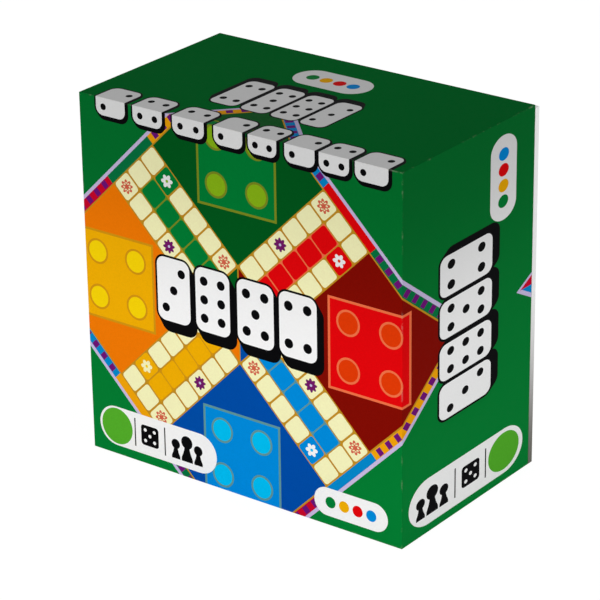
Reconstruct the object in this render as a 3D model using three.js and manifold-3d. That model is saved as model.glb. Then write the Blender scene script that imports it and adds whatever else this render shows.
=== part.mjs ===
// Telescoping card box of a compact ludo set, stood on its side wall with the lid's big face to the front.
// Inside: a board that folds in four, a leaflet, a formed tray, a dice cup, two dice and sixteen pawns.
// Millimetres, +Z up, +X to the right of the lid's face, -Y out of the face. Origin: middle of the footprint.
import * as THREE from 'three';
import { mergeVertices } from 'three/addons/utils/BufferGeometryUtils.js';
import { RoundedBoxGeometry } from 'three/addons/geometries/RoundedBoxGeometry.js';
import Module from 'manifold-3d';

const wasm = await Module();
wasm.setup();

// The closed box
const boxWidth = 150;
const boxHeight = 150;
const lidDepth = 86.5;

// Card and paper
const greyboard = 1.5;
const paper = 0.2;
const glueLine = 0.05;
const turnIn = 16; // paper folded over the rim onto the inside of the wall
const stayLeg = 14; // each leg of the corner tape
const mitreGap = 0.03;

// Base plate: the base's flat bottom reaches out to the lid's outside, and the lid closes against it
const plateBoard = 2.2;
const plateTurnIn = 12; // white paper folded over the plate's edge
const plateShort = 1.4; // the plate ends below the lid's top, where the lid hides it from the front
const rimGap = 0.2; // lid's rim to the plate

// Fits
const lidPlay = 0.5; // lid wall to base wall, each side
const seatGap = 0.3; // what a piece rests on, or stops at
const overrun = 1; // how far a cutting solid runs past what it cuts

// Folding board
const panelBoard = 1.8;
const foldGap = 0.8; // between two panels that lie folded on each other
const hingeReach = 0.8; // from a panel's edge out to the fold line
const hingeRoll = 0.45; // radius of the rolled cloth on the fold line
const tapeFlap = 9;
const tapeSetback = 1.5;
const boardPlay = 3.4; // finger room from the folded board to the base's wall

// Leaflet
const leafletPlay = 7.5; // from the leaflet's edge to the base's wall
const leafletLeaf = 0.2;
const leafletThickness = 0.6;

// Tray
const trayPlay = 0.4;
const trayWall = 1;
const trayCorner = 3;
const trayLedge = 3.5; // deck left between a corner well and the tray's edge
const wellCorner = 5;
const wellDraft = 1.2; // how much a well opens out at each side, floor to deck
const scoopRadius = 10;
const scoopDepth = 32;
const scoopOffset = 33; // from the cup's axis to the scoop's axis
const diceScoopRadius = 6;

// Dice cup
const cupMouthRadius = 31;
const cupFootRadius = 25;
const cupWall = 1.8;
const cupFloor = 2.6;
const cupBead = 1; // the rim stands out by this much
const cupBeadHeight = 4;
const cupFootChamfer = 1.2;
const cupPlay = 0.6;
const cupStandOff = 3; // from the underside of the cup's well to the back of the tray

// Dice
const dieSide = 14;
const dieRound = 2;
const diePlay = 0.5;
const pipRadius = 1.25;
const pipDepth = 0.5;
const pipPitch = 3.6;

// Pawns
const pawnRadius = 6.7;
const pawnHeight = 24;
const pawnFootHeight = 1.6;
const pawnNeckRadius = 2.5;
const pawnNeckHeight = 14.6;
const pawnCollarRadius = 3.9;
const pawnCollarHeight = 1.2;
const pawnHeadRadius = 4.7;
const pawnPlay = 0.4;

// Worked out from the sizes above
const skin = paper + glueLine;
const wall = skin + greyboard + skin;
const floorThickness = skin + greyboard;
const plateThickness = skin + plateBoard + skin;
const boxDepth = lidDepth + rimGap + plateThickness;
const lidFront = -boxDepth / 2;
const plateBack = boxDepth / 2;
const baseBack = plateBack - plateThickness - glueLine;
const lidInside = lidFront + floorThickness;
const baseInside = baseBack - floorThickness;
const baseRim = lidInside + seatGap;
const baseDepth = baseBack - baseRim;
const baseWidth = boxWidth - 2 * (wall + lidPlay);
const baseHeight = boxHeight - 2 * (wall + lidPlay);
const roomLeft = -baseWidth / 2 + wall;
const roomRight = -roomLeft;
const middleZ = boxHeight / 2;
const roomBottom = middleZ - baseHeight / 2 + wall;
const roomTop = middleZ + baseHeight / 2 - wall;

const colours = {
  print: 0x026b29,
  paper: 0xeeeae0,
  greyboard: 0x9b9182,
  tape: 0x2c2c30,
  tray: 0xf1f1ee,
  cup: 0x1d1d20,
  die: 0xf6f3ea,
  red: 0xe1050a,
  green: 0x00803c,
  yellow: 0xf0aa00,
  blue: 0x0078d2,
};

function material(colour, roughness) {
  return new THREE.MeshStandardMaterial({ color: colour, roughness, metalness: 0 });
}

const finish = {
  print: material(colours.print, 0.35),
  paper: material(colours.paper, 0.8),
  greyboard: material(colours.greyboard, 0.95),
  tape: material(colours.tape, 0.85),
  tray: material(colours.tray, 0.4),
  cup: material(colours.cup, 0.3),
  die: material(colours.die, 0.25),
};

// Geometry tools

function mesh(name, geometry, surface) {
  const piece = new THREE.Mesh(geometry, surface);
  piece.name = name;
  return piece;
}

function block([x0, x1], [y0, y1], [z0, z1]) {
  const box = new THREE.BoxGeometry(x1 - x0, y1 - y0, z1 - z0);
  return box.translate((x0 + x1) / 2, (y0 + y1) / 2, (z0 + z1) / 2);
}

function toSolid(geometry) {
  const bare = geometry.clone();
  for (const name of Object.keys(bare.attributes)) {
    if (name !== 'position') bare.deleteAttribute(name);
  }
  const merged = mergeVertices(bare);
  return new wasm.Manifold(new wasm.Mesh({
    numProp: 3,
    vertProperties: new Float32Array(merged.attributes.position.array),
    triVerts: new Uint32Array(merged.index.array),
  }));
}

function toGeometry(solid) {
  const result = solid.getMesh();
  const geometry = new THREE.BufferGeometry();
  geometry.setAttribute('position', new THREE.BufferAttribute(new Float32Array(result.vertProperties), 3));
  geometry.setIndex(Array.from(result.triVerts));
  geometry.computeVertexNormals();
  return geometry;
}

function joined(geometries) {
  return geometries.map(toSolid).reduce((sum, next) => sum.add(next));
}

// A flat outline drawn in X and Z, made solid from yFront back to yBack
function slabAlongY(outline, yFront, yBack, segments) {
  const geometry = new THREE.ExtrudeGeometry(outline, {
    depth: yBack - yFront,
    bevelEnabled: false,
    curveSegments: segments,
  });
  return geometry.rotateX(Math.PI / 2).translate(0, yBack, 0);
}

function roundedRectangle(width, height, radius) {
  const x = width / 2;
  const z = height / 2;
  const shape = new THREE.Shape();
  shape.moveTo(-x + radius, -z);
  shape.lineTo(x - radius, -z);
  shape.absarc(x - radius, -z + radius, radius, -Math.PI / 2, 0);
  shape.lineTo(x, z - radius);
  shape.absarc(x - radius, z - radius, radius, 0, Math.PI / 2);
  shape.lineTo(-x + radius, z);
  shape.absarc(-x + radius, z - radius, radius, Math.PI / 2, Math.PI);
  shape.lineTo(-x, -z + radius);
  shape.absarc(-x + radius, -z + radius, radius, Math.PI, 1.5 * Math.PI);
  return shape;
}

function outlineOf(points) {
  return new THREE.Shape(points.map(([u, v]) => new THREE.Vector2(u, v)));
}

// Lid and base: each a scored and folded greyboard tray with corner tape, covered in one sheet of paper

// L-shaped strip round a corner at the origin, with its legs running to -X and -Z
function cornerAngle(leg, thickness) {
  return outlineOf([
    [0, 0], [0, -leg], [-thickness, -leg], [-thickness, -thickness], [-leg, -thickness], [-leg, 0],
  ]);
}

function cornersOf(width, height) {
  return [
    { name: 'top_right', x: width / 2, z: height / 2, turn: 0 },
    { name: 'bottom_right', x: width / 2, z: -height / 2, turn: Math.PI / 2 },
    { name: 'bottom_left', x: -width / 2, z: -height / 2, turn: Math.PI },
    { name: 'top_left', x: -width / 2, z: height / 2, turn: -Math.PI / 2 },
  ];
}

// One side of the paper cover: skin outside the wall, over the rim and back down inside it.
// Its outside lies on z = 0 with the wall above it, and its ends are mitred.
function wrapPanel(length, depth) {
  const profile = outlineOf([
    [skin, 0],
    [depth, 0],
    [depth, wall],
    [depth - turnIn, wall],
    [depth - turnIn, wall - paper],
    [depth - paper, wall - paper],
    [depth - paper, paper],
    [skin, paper],
  ]);
  const geometry = new THREE.ExtrudeGeometry(profile, { depth: 1, bevelEnabled: false });
  const place = geometry.attributes.position;
  for (let i = 0; i < place.count; i += 1) {
    const inward = place.getY(i);
    const end = length / 2 - inward - mitreGap;
    place.setXYZ(i, place.getZ(i) > 0 ? end : -end, place.getX(i), inward);
  }
  return geometry;
}

// The closed face lies on y = 0 and the rim at y = depth
function cartonShell(prefix, faceName, width, height, depth, surface) {
  const shell = new THREE.Group();
  const cardWidth = width - 2 * skin;
  const cardHeight = height - 2 * skin;
  const corners = cornersOf(cardWidth, cardHeight);

  const card = block([-cardWidth / 2, cardWidth / 2], [skin, depth - skin], [-cardHeight / 2, cardHeight / 2]);
  const room = block(
    [-cardWidth / 2 + greyboard, cardWidth / 2 - greyboard],
    [floorThickness, depth + overrun],
    [-cardHeight / 2 + greyboard, cardHeight / 2 - greyboard],
  );
  let cardSolid = toSolid(card).subtract(toSolid(room));
  for (const corner of corners) {
    const rebate = slabAlongY(cornerAngle(stayLeg + glueLine, skin), floorThickness - glueLine, depth);
    rebate.rotateY(corner.turn).translate(corner.x, 0, corner.z);
    cardSolid = cardSolid.subtract(toSolid(rebate));
  }
  shell.add(mesh(`${prefix}_board`, toGeometry(cardSolid), finish.greyboard));

  for (const corner of corners) {
    const tape = slabAlongY(cornerAngle(stayLeg, paper), floorThickness, depth - skin);
    const stay = mesh(`${prefix}_corner_tape_${corner.name}`, tape, finish.paper);
    stay.position.set(corner.x, 0, corner.z);
    stay.rotation.y = corner.turn;
    shell.add(stay);
  }

  const face = block([-width / 2, width / 2], [0, paper], [-height / 2, height / 2]);
  shell.add(mesh(`${prefix}_wrap_${faceName}`, face, surface));
  const sides = [
    { name: 'bottom', length: width, x: 0, z: -height / 2, turn: 0 },
    { name: 'top', length: width, x: 0, z: height / 2, turn: Math.PI },
    { name: 'right', length: height, x: width / 2, z: 0, turn: -Math.PI / 2 },
    { name: 'left', length: height, x: -width / 2, z: 0, turn: Math.PI / 2 },
  ];
  for (const side of sides) {
    const panel = mesh(`${prefix}_wrap_${side.name}`, wrapPanel(side.length, depth), surface);
    panel.position.set(side.x, 0, side.z);
    panel.rotation.y = side.turn;
    shell.add(panel);
  }
  return shell;
}

// The base's plate and the white sheet round its back, its edges and the rim of its front. Its back is on y = 0.
function plate() {
  const group = new THREE.Group();
  const inset = (distance, depths) => block(
    [-boxWidth / 2 + distance, boxWidth / 2 - distance],
    depths,
    [-boxHeight / 2 + distance, boxHeight / 2 - plateShort - distance],
  );
  group.add(mesh('base_plate_board', inset(skin, [skin, skin + plateBoard]), finish.greyboard));
  const wrap = toSolid(inset(0, [0, plateThickness]))
    .subtract(toSolid(inset(paper, [paper, plateThickness - paper])))
    .subtract(toSolid(inset(plateTurnIn, [plateThickness / 2, plateThickness + overrun])));
  group.add(mesh('base_plate_wrap', toGeometry(wrap), finish.paper));
  return group;
}

// Folding board: four panels stacked front to back, joined at three edges by cloth hinges

const panelThickness = panelBoard + skin;
const panelPitch = panelThickness + foldGap;
const panelWidth = roomRight - roomLeft - hingeReach - hingeRoll - 2 * boardPlay;
const panelHeight = roomTop - roomBottom - hingeReach - hingeRoll - 2 * boardPlay;
const panelLeft = roomLeft + boardPlay;
const panelRight = panelLeft + panelWidth;
const panelBottom = roomBottom + seatGap;
const panelTop = panelBottom + panelHeight;
const boardFront = lidInside + seatGap + skin;
const panelCount = 4;
const boardBack = boardFront + panelCount * panelPitch - foldGap;

// Panels are counted from the front of the folded stack; the odd ones lie with the print to the back
function boardPanel(number, name) {
  const front = boardFront + (number - 1) * panelPitch;
  const printBehind = number % 2 === 1;
  const cardFront = printBehind ? front : front + skin;
  const sheetFront = printBehind ? front + panelBoard + glueLine : front;
  const across = [panelLeft, panelRight];
  const up = [panelBottom, panelTop];
  return [
    mesh(`board_panel_${name}`, block(across, [cardFront, cardFront + panelBoard], up), finish.greyboard),
    mesh(`board_print_${name}`, block(across, [sheetFront, sheetFront + paper], up), finish.paper),
  ];
}

// Section of a cloth hinge: u runs back from the carrying panel's rear surface, v outward from its edge.
// A flap on the panel's rear, a turn over its edge and a roll on the fold line.
function hingeTape(length) {
  const foldLine = -panelThickness - foldGap / 2;
  const section = new THREE.Shape();
  section.moveTo(skin, -tapeFlap);
  section.lineTo(skin, skin);
  section.lineTo(foldLine + hingeRoll, skin);
  section.lineTo(foldLine + hingeRoll, hingeReach);
  section.absarc(foldLine, hingeReach, hingeRoll, 0, 1.5 * Math.PI);
  section.lineTo(foldLine, glueLine);
  section.lineTo(glueLine, glueLine);
  section.lineTo(glueLine, -tapeFlap);
  const geometry = new THREE.ExtrudeGeometry(section, { depth: length, bevelEnabled: false, curveSegments: 8 });
  const turn = new THREE.Matrix4().makeBasis(
    new THREE.Vector3(0, 1, 0),
    new THREE.Vector3(0, 0, 1),
    new THREE.Vector3(1, 0, 0),
  );
  return geometry.applyMatrix4(turn).translate(-length / 2, 0, 0);
}

function topHinge(name, carrier) {
  const tape = mesh(name, hingeTape(panelWidth - 2 * tapeSetback), finish.tape);
  tape.position.set((panelLeft + panelRight) / 2, boardFront + carrier * panelPitch - foldGap, panelTop);
  return tape;
}

function sideHinge(name, carrier) {
  const tape = mesh(name, hingeTape(panelHeight - 2 * tapeSetback), finish.tape);
  tape.position.set(panelRight, boardFront + carrier * panelPitch - foldGap, (panelBottom + panelTop) / 2);
  tape.rotation.y = Math.PI / 2;
  return tape;
}

// Leaflet: one sheet folded once, its fold at the right

const leafletFront = boardBack + skin + seatGap;
const leafletBack = leafletFront + leafletThickness;
const leafletWidth = roomRight - roomLeft - 2 * leafletPlay;
const leafletHeight = roomTop - roomBottom - 2 * leafletPlay;

function leaflet() {
  const right = leafletWidth / 2;
  const section = outlineOf([
    [-right, 0],
    [right, 0],
    [right, leafletThickness],
    [-right, leafletThickness],
    [-right, leafletThickness - leafletLeaf],
    [right - leafletLeaf, leafletThickness - leafletLeaf],
    [right - leafletLeaf, leafletLeaf],
    [-right, leafletLeaf],
  ]);
  const sheet = new THREE.ExtrudeGeometry(section, { depth: leafletHeight, bevelEnabled: false });
  const piece = mesh('rules_leaflet', sheet, finish.paper);
  piece.position.set(0, leafletFront, roomBottom + seatGap);
  return piece;
}

// Tray: deck, skirt and wells formed from one sheet

const deckFront = leafletBack + seatGap;
const deckBack = deckFront + trayWall;
const trayBack = baseInside - seatGap;
const trayWidth = roomRight - roomLeft - 2 * trayPlay;
const trayHeight = roomTop - roomBottom - 2 * trayPlay;
const pawnPitch = 2 * pawnRadius + pawnPlay;
const pawnWell = 2 * pawnPitch + pawnPlay;
const pawnWellDepth = pawnHeight + 2 * seatGap;
const pawnWellX = trayWidth / 2 - trayLedge - wellDraft - pawnWell / 2;
const pawnWellZ = trayHeight / 2 - trayLedge - wellDraft - pawnWell / 2;
const cupFront = deckFront + seatGap;
const cupLength = trayBack - deckFront - trayWall - 2 * seatGap - cupStandOff;
const cupWellDepth = cupLength + 2 * seatGap;
const dicePitch = dieSide + diePlay;
const diceWellWidth = 2 * dicePitch + diePlay;
const diceWellHeight = dieSide + 2 * diePlay;
const diceWellDepth = dieSide + 2 * seatGap;
const diceWellZ = (cupMouthRadius + trayHeight / 2) / 2;

// Each colour's corner of the tray
const pawnCorners = [
  { name: 'green', x: -1, z: 1 },
  { name: 'yellow', x: -1, z: -1 },
  { name: 'red', x: 1, z: 1 },
  { name: 'blue', x: 1, z: -1 },
];

// A prism from the deck back to its floor that opens out by wellDraft at the deck
function draftedPrism(width, height, radius, front, back, grow) {
  const outline = roundedRectangle(width + 2 * grow, height + 2 * grow, radius + grow);
  const prism = slabAlongY(outline, front, back, 5);
  const place = prism.attributes.position;
  const middle = (front + back) / 2;
  const widen = (width + 2 * grow + 2 * wellDraft) / (width + 2 * grow);
  const heighten = (height + 2 * grow + 2 * wellDraft) / (height + 2 * grow);
  for (let i = 0; i < place.count; i += 1) {
    if (place.getY(i) < middle) {
      place.setX(i, place.getX(i) * widen);
      place.setZ(i, place.getZ(i) * heighten);
    }
  }
  return prism;
}

function postAlongY(frontRadius, backRadius, front, back, segments) {
  const post = new THREE.CylinderGeometry(backRadius, frontRadius, back - front, segments);
  return post.translate(0, (front + back) / 2, 0);
}

// The wells by name, each a few shapes that run into each other: as cutters (grow = 0) or as the formed skin
// round them (grow = trayWall)
function wells(grow, front) {
  const shapes = {};
  for (const corner of pawnCorners) {
    const back = deckFront + pawnWellDepth + grow;
    const well = draftedPrism(pawnWell, pawnWell, wellCorner, front, back, grow);
    shapes[`well_${corner.name}`] = [well.translate(corner.x * pawnWellX, 0, corner.z * pawnWellZ)];
  }

  const cupBack = deckFront + cupWellDepth + grow;
  const mouth = cupMouthRadius + cupBead + cupPlay + grow;
  const foot = cupFootRadius + cupBead + cupPlay + grow;
  shapes.cup_well = [postAlongY(mouth, foot, front, cupBack, 56)];

  const diceBack = deckFront + diceWellDepth + grow;
  const diceWell = slabAlongY(
    roundedRectangle(diceWellWidth + 2 * grow, diceWellHeight + 2 * grow, dieRound + grow),
    front,
    diceBack,
    3,
  );
  shapes.dice_well = [diceWell.translate(0, 0, diceWellZ)];

  for (const side of [-1, 1]) {
    const scoopBack = deckFront + scoopDepth + grow;
    const scoop = postAlongY(scoopRadius + grow, scoopRadius + grow, front, scoopBack, 28);
    shapes.cup_well.push(scoop.translate(side * scoopOffset, 0, 0));
    const diceScoop = postAlongY(diceScoopRadius + grow, diceScoopRadius + grow, front, diceBack, 20);
    shapes.dice_well.push(diceScoop.translate(side * diceWellWidth / 2, 0, diceWellZ));
  }
  return shapes;
}

// The deck with its skirt, and each well behind its hole in the deck
function tray() {
  const rim = roundedRectangle(trayWidth, trayHeight, trayCorner);
  const inner = roundedRectangle(trayWidth - 2 * trayWall, trayHeight - 2 * trayWall, trayCorner - trayWall);
  const outside = toSolid(slabAlongY(rim, deckFront, trayBack, 4));
  const under = toSolid(slabAlongY(inner, deckBack, trayBack + overrun, 4));
  const cutters = wells(0, deckFront - overrun);
  const deck = outside.subtract(under).subtract(joined(Object.values(cutters).flat()));
  const group = new THREE.Group();
  group.add(mesh('insert_tray', toGeometry(deck), finish.tray));
  for (const [name, skins] of Object.entries(wells(trayWall, deckFront))) {
    const well = joined(skins).subtract(joined(cutters[name])).trimByPlane([0, 1, 0], deckBack + glueLine);
    group.add(mesh(`insert_tray_${name}`, toGeometry(well), finish.tray));
  }
  group.position.z = middleZ;
  return group;
}

// Dice cup, drawn standing on its foot along +Y and then turned mouth to the front

function diceCup() {
  const rimHeight = cupLength - cupBeadHeight;
  const slope = (cupMouthRadius - cupFootRadius) / cupLength;
  const profile = [
    [0, 0],
    [cupFootRadius - cupFootChamfer, 0],
    [cupFootRadius, cupFootChamfer],
    [cupFootRadius + slope * rimHeight, rimHeight],
    [cupFootRadius + slope * rimHeight + cupBead, rimHeight + cupBead],
    [cupMouthRadius + cupBead, cupLength - cupBead],
    [cupMouthRadius, cupLength],
    [cupMouthRadius - cupWall, cupLength],
    [cupFootRadius - cupWall, cupFloor + cupFootChamfer],
    [cupFootRadius - cupWall - cupFootChamfer, cupFloor],
    [0, cupFloor],
  ];
  const cup = mesh('dice_cup', turned(profile, 48), finish.cup);
  cup.position.set(0, cupFront + cupLength, middleZ);
  cup.rotation.z = Math.PI;
  return cup;
}

function turned(profile, segments) {
  const points = profile.map(([radius, height]) => new THREE.Vector2(radius, height));
  return new THREE.LatheGeometry(points, segments);
}

// Dice: rounded cubes with hollow pips, opposite faces adding up to seven

const pipShares = {
  1: [[0, 0]],
  2: [[-1, -1], [1, 1]],
  3: [[-1, -1], [0, 0], [1, 1]],
  4: [[-1, -1], [-1, 1], [1, -1], [1, 1]],
  5: [[-1, -1], [-1, 1], [0, 0], [1, -1], [1, 1]],
  6: [[-1, -1], [-1, 0], [-1, 1], [1, -1], [1, 0], [1, 1]],
};

// Turns that bring the top of the cube to each face
const dieFaces = [
  { pips: 1, x: 0, z: 0 },
  { pips: 6, x: Math.PI, z: 0 },
  { pips: 2, x: Math.PI / 2, z: 0 },
  { pips: 5, x: -Math.PI / 2, z: 0 },
  { pips: 3, x: 0, z: -Math.PI / 2 },
  { pips: 4, x: 0, z: Math.PI / 2 },
];

function die(name, index, turns) {
  const body = new RoundedBoxGeometry(dieSide, dieSide, dieSide, 2, dieRound);
  let solid = toSolid(body);
  for (const face of dieFaces) {
    for (const [across, along] of pipShares[face.pips]) {
      const pip = new THREE.CylinderGeometry(pipRadius, pipRadius - pipDepth, 2 * pipDepth, 8);
      pip.translate(across * pipPitch, dieSide / 2, along * pipPitch);
      pip.rotateX(face.x);
      pip.rotateZ(face.z);
      solid = solid.subtract(toSolid(pip));
    }
  }
  const piece = mesh(name, toGeometry(solid), finish.die);
  piece.position.set((index - 0.5) * dicePitch, deckFront + seatGap + dieSide / 2, middleZ + diceWellZ);
  piece.rotation.set(turns.x, turns.y, 0);
  return piece;
}

// Pawns: turned foot, cone, collar and ball head, standing head to the front, four to a well

function pawnProfile() {
  const headMiddle = pawnHeight - pawnHeadRadius;
  const collarTop = pawnNeckHeight + pawnCollarHeight;
  const profile = [
    [0, 0],
    [pawnRadius, 0],
    [pawnRadius, pawnFootHeight],
    [(pawnRadius + pawnNeckRadius) / 2, (pawnFootHeight * 2 + pawnNeckHeight) / 3],
    [pawnNeckRadius, pawnNeckHeight],
    [pawnCollarRadius, pawnNeckHeight],
    [pawnCollarRadius, collarTop],
  ];
  const start = Math.asin(Math.min(1, (headMiddle - collarTop) / pawnHeadRadius));
  const steps = 5;
  for (let i = 0; i <= steps; i += 1) {
    const angle = -start + (i / steps) * (Math.PI / 2 + start);
    const radius = i === steps ? 0 : pawnHeadRadius * Math.cos(angle);
    profile.push([radius, headMiddle + pawnHeadRadius * Math.sin(angle)]);
  }
  return profile;
}

function pawns() {
  const group = new THREE.Group();
  for (const corner of pawnCorners) {
    const surface = material(colours[corner.name], 0.3);
    let count = 0;
    for (const row of [-1, 1]) {
      for (const column of [-1, 1]) {
        count += 1;
        const pawn = mesh(`pawn_${corner.name}_${count}`, turned(pawnProfile(), 16), surface);
        pawn.position.set(
          corner.x * pawnWellX + column * pawnPitch / 2,
          deckFront + seatGap + pawnHeight,
          middleZ + corner.z * pawnWellZ + row * pawnPitch / 2,
        );
        pawn.rotation.z = Math.PI;
        group.add(pawn);
      }
    }
  }
  return group;
}

// The whole set

const set = new THREE.Group();

const lid = cartonShell('lid', 'front', boxWidth, boxHeight, lidDepth, finish.print);
lid.position.set(0, lidFront, middleZ);
set.add(lid);

const base = cartonShell('base', 'back', baseWidth, baseHeight, baseDepth, finish.paper);
base.position.set(0, baseBack, middleZ);
base.rotation.z = Math.PI;
set.add(base);

const basePlate = plate();
basePlate.position.set(0, plateBack, middleZ);
basePlate.rotation.z = Math.PI;
set.add(basePlate);

set.add(...boardPanel(1, 'lower_right'));
set.add(...boardPanel(2, 'upper_right'));
set.add(...boardPanel(3, 'upper_left'));
set.add(...boardPanel(4, 'lower_left'));
set.add(topHinge('board_hinge_right', 2));
set.add(sideHinge('board_hinge_middle', 3));
set.add(topHinge('board_hinge_left', 4));

set.add(leaflet());
set.add(tray());
set.add(diceCup());
set.add(die('die_1', 0, { x: 0, y: 0 }));
set.add(die('die_2', 1, { x: Math.PI / 2, y: 0 }));
set.add(pawns());

export default set;
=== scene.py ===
"""A ludo set in a telescoping card box: the printed lid over a white base, with the folding board, leaflet,
tray, cup, dice and pawns inside. The print is drawn in millimetres and laid on as thin ink sheets."""

import math

import bmesh
import bpy
from mathutils import Matrix, Vector
from mathutils.geometry import delaunay_2d_cdt


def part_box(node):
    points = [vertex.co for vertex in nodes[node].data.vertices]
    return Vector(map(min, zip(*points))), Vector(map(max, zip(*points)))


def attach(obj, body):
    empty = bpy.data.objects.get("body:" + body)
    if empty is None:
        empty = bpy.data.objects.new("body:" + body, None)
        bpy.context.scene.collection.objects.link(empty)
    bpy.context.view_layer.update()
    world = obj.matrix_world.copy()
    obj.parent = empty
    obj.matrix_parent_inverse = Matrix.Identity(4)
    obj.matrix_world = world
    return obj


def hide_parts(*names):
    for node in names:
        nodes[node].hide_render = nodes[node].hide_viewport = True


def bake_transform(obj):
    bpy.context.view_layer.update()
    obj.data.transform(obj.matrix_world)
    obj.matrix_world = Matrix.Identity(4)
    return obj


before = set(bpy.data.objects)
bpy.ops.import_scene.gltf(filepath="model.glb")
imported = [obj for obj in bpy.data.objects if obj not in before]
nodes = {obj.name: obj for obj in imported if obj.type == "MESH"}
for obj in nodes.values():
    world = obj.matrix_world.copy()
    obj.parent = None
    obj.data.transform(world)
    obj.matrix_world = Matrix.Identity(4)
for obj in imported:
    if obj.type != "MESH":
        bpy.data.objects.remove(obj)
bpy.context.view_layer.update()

MM = 0.001


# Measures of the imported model, in mm

def low(node):
    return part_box(node)[0] / MM


def high(node):
    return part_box(node)[1] / MM


HALF = high("lid_wrap_front").x
TALL = high("lid_wrap_front").z
FRONT = low("lid_wrap_front").y
RIM = high("lid_wrap_top").y
DEEP = RIM - FRONT


# Inks as sRGB, turned to linear where they are used

INKS = {
    "lid_green": (2, 108, 43),
    "lavender": (205, 192, 230),
    "purple": (112, 20, 120),
    "crimson": (205, 8, 45),
    "orange": (246, 168, 10),
    "sky": (4, 138, 206),
    "grass": (6, 118, 66),
    "gold": (198, 144, 34),
    "cream": (255, 250, 194),
    "yard_green": (0, 90, 30),
    "yard_red": (132, 12, 3),
    "yard_blue": (0, 78, 170),
    "yard_yellow": (246, 124, 4),
    "house_green": (0, 128, 54),
    "house_red": (232, 6, 12),
    "house_blue": (0, 142, 224),
    "house_yellow": (246, 178, 4),
    "spot_green": (140, 186, 24),
    "spot_red": (230, 60, 6),
    "spot_blue": (0, 194, 246),
    "spot_yellow": (255, 216, 8),
    "line_green": (128, 142, 34),
    "line_red": (244, 116, 72),
    "line_blue": (96, 152, 156),
    "line_yellow": (214, 150, 20),
    "rose": (216, 100, 74),
    "violet": (116, 26, 104),
    "white": (255, 255, 255),
    "black": (10, 10, 12),
    "leaf": (86, 178, 44),
    "grey": (150, 150, 150),
}


def linear(rgb):
    out = []
    for c in rgb:
        c = c / 255
        out.append(c / 12.92 if c <= 0.04045 else ((c + 0.055) / 1.055) ** 2.4)
    return tuple(out)


def shade(rgb, factor):
    return tuple(min(1.0, c * factor) for c in rgb)


# Materials

class Nodes:
    """A short way to write shader nodes."""

    def __init__(self, owner):
        owner.use_nodes = True
        self.tree = owner.node_tree
        self.tree.nodes.clear()

    def join(self, a, b):
        self.tree.links.new(a, b)

    def feed(self, value, socket):
        if isinstance(value, bpy.types.NodeSocket):
            self.join(value, socket)
        else:
            socket.default_value = value

    def node(self, kind, **inputs):
        n = self.tree.nodes.new(f"ShaderNode{kind}")
        for name, value in inputs.items():
            self.feed(value, n.inputs[name.replace("_", " ")])
        return n

    def math(self, operation, a, b=0.0, c=0.0, clamp=False):
        n = self.node("Math")
        n.operation = operation
        n.use_clamp = clamp
        for value, socket in zip((a, b, c), n.inputs):
            self.feed(value, socket)
        return n.outputs[0]


class Tree(Nodes):
    """The nodes of one material, which paint by the place on the object."""

    def __init__(self, name):
        self.material = bpy.data.materials.new(name)
        super().__init__(self.material)
        self.shader = self.node("BsdfPrincipled")
        self.node("OutputMaterial", Surface=self.shader.outputs[0])
        self.place = self.node("TexCoord").outputs["Object"]

    def noise(self, scale, detail=2.0, rough=0.5, stretch=None):
        """Noise between 0 and 1. The scale is in lumps per metre, and stretch draws them out."""
        place = self.node("Mapping", Vector=self.place, Scale=stretch).outputs[0] if stretch else self.place
        return self.node("TexNoise", Vector=place, Scale=scale, Detail=detail, Roughness=rough).outputs["Fac"]

    def ramp(self, value, start, end, low=0.0, high=1.0):
        """Low up to start and high from end on, with a smooth way between."""
        n = self.node("MapRange", Value=value, From_Min=start, From_Max=end, To_Min=low, To_Max=high)
        n.interpolation_type = "SMOOTHSTEP"
        return n.outputs["Result"]

    def mix(self, share, a, b):
        n = self.node("Mix")
        n.data_type = "RGBA"
        self.feed(share, n.inputs[0])
        for value, socket in ((a, n.inputs[6]), (b, n.inputs[7])):
            self.feed((*value, 1.0) if isinstance(value, tuple) else value, socket)
        return n.outputs[2]

    def axes(self):
        return self.node("SeparateXYZ", Vector=self.place).outputs

    def bump(self, height, strength, distance, below=None):
        n = self.node("Bump", Strength=strength, Distance=distance, Height=height)
        if below is not None:
            self.join(below, n.inputs["Normal"])
        return n.outputs[0]

    def finish(self, colour, rough, normal, **constants):
        constants = {"Base_Color": colour, "Roughness": rough, "Normal": normal, **constants}
        for name, value in constants.items():
            self.feed(value, self.shader.inputs[name.replace("_", " ")])
        return self.material


def lid_edge_distance(t):
    """Distance in metres to the nearest folded edge or the rim of the lid, on its outside."""
    x, y, z = t.axes()

    def gap(value, mark):
        return t.math("ABSOLUTE", t.math("SUBTRACT", value, mark * MM))

    across = gap(t.math("ABSOLUTE", x), HALF)
    deep = t.math("MINIMUM", gap(y, FRONT), gap(y, RIM))
    tall = t.math("MINIMUM", gap(z, 0.0), gap(z, TALL))
    return t.math(
        "MAXIMUM",
        t.math("MINIMUM", across, deep),
        t.math("MINIMUM", t.math("MAXIMUM", across, deep), tall),
    )


# How far painted shade darkens the print towards the top of the lid, as the photograph shows; white darkens
# most
TOP_SHADE, WHITE_TOP_SHADE = 0.26, 0.36
TOP_SHADE_FROM = 0.4 * TALL * MM
RUBBED_WIDTH = 0.0007
RUBBED_CARD = (196, 198, 180)


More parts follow.
